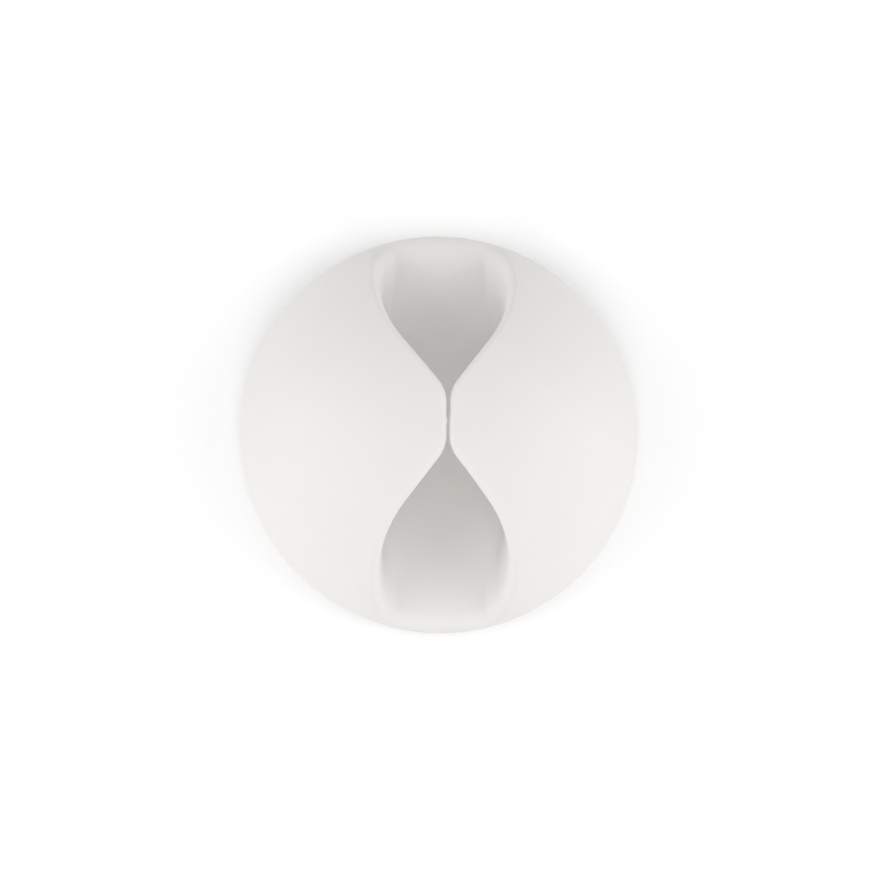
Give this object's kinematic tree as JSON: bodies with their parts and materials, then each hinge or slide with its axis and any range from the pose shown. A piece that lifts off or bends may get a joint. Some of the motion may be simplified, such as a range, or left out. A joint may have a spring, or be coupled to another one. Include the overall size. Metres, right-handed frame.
{
  "type": "cable clip",
  "caption": "Round self-adhesive cable clip: a soft white dome with a channel through it that opens in a slit between two lips and flares at both ends, on a foam pad.",
  "frame": {"origin": "centre of the adhesive pad's underside, on the surface that the clip sticks to", "axes": "+Z out of the surface through the crown of the dome; +Y along the cable channel; +X across it"},
  "size_m": [0.03, 0.03, 0.012],
  "materials": {
    "soft_white_rubber": "fine matt moulded skin",
    "pale_grey_foam": "closed-cell foam with an adhesive skin"
  },
  "bodies": {
    "root": {"clip_body": "soft_white_rubber", "adhesive_pad": "pale_grey_foam"}
  },
  "joints": []
}
